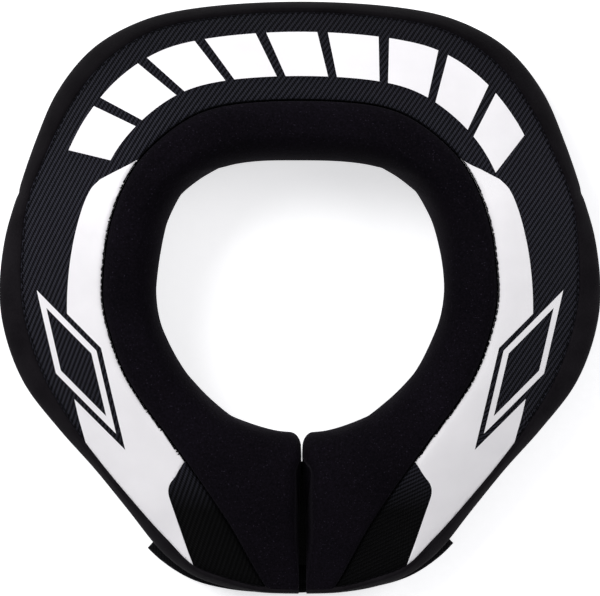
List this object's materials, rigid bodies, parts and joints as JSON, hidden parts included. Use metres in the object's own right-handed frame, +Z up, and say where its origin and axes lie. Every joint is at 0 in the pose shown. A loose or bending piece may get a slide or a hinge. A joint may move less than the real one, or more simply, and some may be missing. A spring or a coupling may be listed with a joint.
{
  "type": "motocross neck brace",
  "caption": "Padded foam ring worn round a rider's neck: soft neck roll, ribbed sloping top, smooth outer wall, open at the front over a closure flap.",
  "frame": {"origin": "middle of the brace in plan, on the surface that it lies on", "axes": "+Z up along the neck, -Y towards the front opening, +X towards the right as seen from above with the front nearest the viewer"},
  "size_m": [0.2806, 0.2772, 0.064],
  "materials": {
    "roll_fleece": "black brushed fleece",
    "top_twill": "black embossed twill",
    "wall_neoprene": "smooth black neoprene",
    "lining": "matte black knit",
    "hook_tape": "black hook tape",
    "white_print": "satin white film"
  },
  "bodies": {
    "root": {"neck_collar": "roll_fleece", "shoulder_pad": "top_twill", "side_wall_right": "wall_neoprene", "back_wall": "wall_neoprene", "side_wall_left": "wall_neoprene", "base_panel": "lining", "closure_flap": "lining", "hook_patch": "hook_tape", "side_stripe_right": "white_print", "side_lozenge_right": "white_print", "side_stripe_left": "white_print", "side_lozenge_left": "white_print", "back_block_1": "white_print", "back_block_2": "white_print", "back_block_3": "white_print", "back_block_4": "white_print", "back_block_5": "white_print", "back_block_6": "white_print", "back_block_7": "white_print", "back_block_8": "white_print", "back_block_9": "white_print"}
  },
  "joints": []
}
